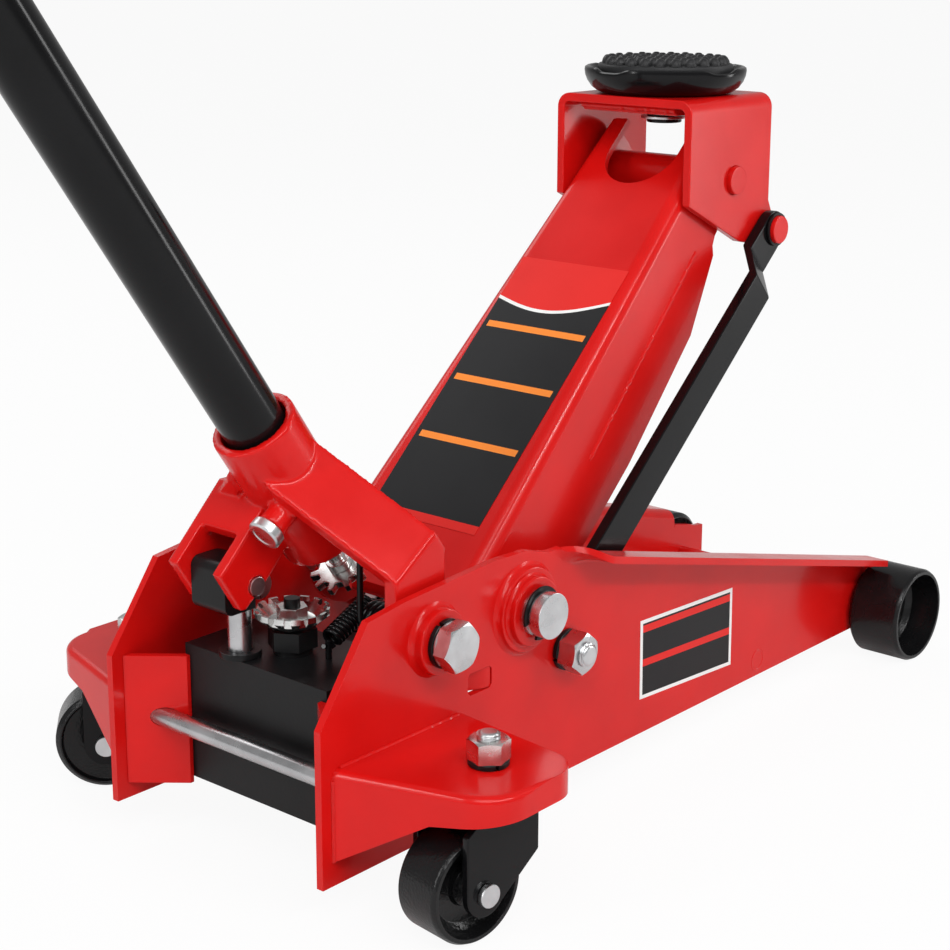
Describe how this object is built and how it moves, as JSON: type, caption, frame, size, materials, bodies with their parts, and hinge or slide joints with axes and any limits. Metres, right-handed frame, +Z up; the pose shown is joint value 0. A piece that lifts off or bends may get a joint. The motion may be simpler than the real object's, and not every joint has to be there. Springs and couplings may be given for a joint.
{
  "type": "trolley jack",
  "caption": "Low rolling hydraulic trolley jack with lift arm, levelling saddle, pump handle, front wheels and swivel casters.",
  "frame": {"origin": "on the floor in the jack's middle plane, midway along the overall length from the handle's end to the front wheels", "axes": "+X forward to the front wheels and saddle, +Y to the jack's left, +Z up"},
  "size_m": [1.1614, 0.3904, 1.0774],
  "materials": {
    "red_paint": "gloss",
    "black_paint": "gloss",
    "zinc": "satin",
    "cast_black": "satin",
    "rubber": "matte"
  },
  "bodies": {
    "frame": {"side_plate_right": "red_paint", "side_plate_left": "red_paint", "wing_right": "red_paint", "wing_left": "red_paint", "gusset_right": "red_paint", "gusset_left": "red_paint", "tie_rod": "zinc", "front_axle": "red_paint", "arm_pin": "zinc", "arm_pin_clips": "black_paint", "handle_bolts": "zinc", "spring_washers": "black_paint", "link_studs": "zinc", "link_nuts": "zinc", "pump_block": "black_paint", "cylinder": "black_paint", "cylinder_gland": "black_paint", "plunger_guide": "black_paint", "valve_body": "black_paint", "filler_plug": "black_paint", "return_spring": "black_paint", "kingpins": "zinc", "kingpin_nuts": "zinc"},
    "arm": {"lift_arm": "red_paint", "arm_lug_pin": "zinc"},
    "saddle_head": {"saddle_bracket": "red_paint", "bracket_stiffener": "red_paint", "bracket_pin": "red_paint", "link_pins": "red_paint", "link_clips": "black_paint"},
    "saddle_turn": {"saddle": "black_paint", "saddle_pad": "rubber", "saddle_clip": "zinc"},
    "link_bar_right": {"link_right": "black_paint"},
    "link_bar_left": {"link_left": "black_paint"},
    "ram_rod": {"ram": "zinc"},
    "yoke_fork": {"yoke": "red_paint", "lock_bolt": "zinc", "ear_pin": "zinc", "torsion_spring": "black_paint"},
    "handle": {"spindle": "zinc", "spindle_gear": "zinc", "handle_tube": "black_paint", "handle_grip": "rubber", "handle_cap": "rubber"},
    "shoe": {"pump_shoe": "black_paint"},
    "pump_plunger": {"plunger": "zinc"},
    "valve": {"valve_stem": "black_paint", "valve_gear": "zinc", "valve_nut": "zinc"},
    "caster_right": {"caster_fork_right": "black_paint", "caster_axle_right": "zinc"},
    "caster_left": {"caster_fork_left": "black_paint", "caster_axle_left": "zinc"},
    "rear_wheel_right": {"caster_wheel_right": "cast_black"},
    "rear_wheel_left": {"caster_wheel_left": "cast_black"},
    "wheel_right": {"front_wheel_right": "cast_black"},
    "wheel_left": {"front_wheel_left": "cast_black"}
  },
  "joints": [
    {"name": "arm_lift", "type": "hinge", "parent": "frame", "child": "arm", "pos_m": [0.11507, 0, 0.147], "axis": [0, 1, 0], "range_deg": [-22, 53]},
    {"name": "saddle_level", "type": "hinge", "parent": "arm", "child": "saddle_head", "pos_m": [0.38525, 0, 0.38187], "axis": [0, 1, 0], "range_deg": [-53, 22]},
    {"name": "saddle_spin", "type": "hinge", "parent": "saddle_head", "child": "saddle_turn", "pos_m": [0.37945, 0, 0.43987], "axis": [0, 0, 1], "continuous": true},
    {"name": "link_right_swing", "type": "hinge", "parent": "frame", "child": "link_bar_right", "pos_m": [0.15607, -0.079, 0.109], "axis": [0, 1, 0], "range_deg": [-22, 53]},
    {"name": "link_left_swing", "type": "hinge", "parent": "frame", "child": "link_bar_left", "pos_m": [0.15607, 0.079, 0.109], "axis": [0, 1, 0], "range_deg": [-22, 53]},
    {"name": "ram_push", "type": "slide", "parent": "frame", "child": "ram_rod", "axis": [1, 0, 0], "range_m": [-0.0406, 0.017]},
    {"name": "handle_pump", "type": "hinge", "parent": "frame", "child": "yoke_fork", "pos_m": [0.03207, 0, 0.15], "axis": [0, 1, 0], "range_deg": [-25, 12]},
    {"name": "handle_twist", "type": "hinge", "parent": "yoke_fork", "child": "handle", "pos_m": [0.05006, 0, 0.17], "axis": [-0.565, 0, 0.8251], "range_deg": [-90, 90]},
    {"name": "valve_turn", "type": "hinge", "parent": "frame", "child": "valve", "pos_m": [0.00656, 0, 0.145], "axis": [0, 0, 1], "range_deg": [-71, 71]},
    {"name": "shoe_level", "type": "hinge", "parent": "yoke_fork", "child": "shoe", "pos_m": [-0.02394, 0.02, 0.177], "axis": [0, 1, 0], "range_deg": [-12, 25]},
    {"name": "plunger_stroke", "type": "slide", "parent": "frame", "child": "pump_plunger", "axis": [0, 0, 1], "range_m": [-0.0258, 0.0124]},
    {"name": "caster_right_swivel", "type": "hinge", "parent": "frame", "child": "caster_right", "pos_m": [0.01107, -0.1517, 0.088], "axis": [0, 0, 1], "continuous": true},
    {"name": "caster_left_swivel", "type": "hinge", "parent": "frame", "child": "caster_left", "pos_m": [0.01107, 0.1517, 0.088], "axis": [0, 0, 1], "continuous": true},
    {"name": "rear_wheel_right_spin", "type": "hinge", "parent": "caster_right", "child": "rear_wheel_right", "pos_m": [-0.01115, -0.14882, 0.0329], "axis": [0.1288, 0.9917, 0], "continuous": true},
    {"name": "rear_wheel_left_spin", "type": "hinge", "parent": "caster_left", "child": "rear_wheel_left", "pos_m": [-0.00584, 0.1664, 0.0329], "axis": [0.6561, 0.7547, 0], "continuous": true},
    {"name": "wheel_right_spin", "type": "hinge", "parent": "frame", "child": "wheel_right", "pos_m": [0.54466, -0.115, 0.036], "axis": [0, 1, 0], "continuous": true},
    {"name": "wheel_left_spin", "type": "hinge", "parent": "frame", "child": "wheel_left", "pos_m": [0.54466, 0.115, 0.036], "axis": [0, 1, 0], "continuous": true}
  ],
  "couplings": [
    {"joint": "saddle_level", "follows": "arm_lift", "ratio": -1},
    {"joint": "link_right_swing", "follows": "arm_lift", "ratio": 1},
    {"joint": "link_left_swing", "follows": "arm_lift", "ratio": 1},
    {"joint": "ram_push", "follows": "arm_lift", "m_per_rad": -0.043545},
    {"joint": "shoe_level", "follows": "handle_pump", "ratio": -1},
    {"joint": "plunger_stroke", "follows": "handle_pump", "m_per_rad": 0.059015},
    {"joint": "valve_turn", "follows": "handle_twist", "ratio": -0.78571}
  ]
}
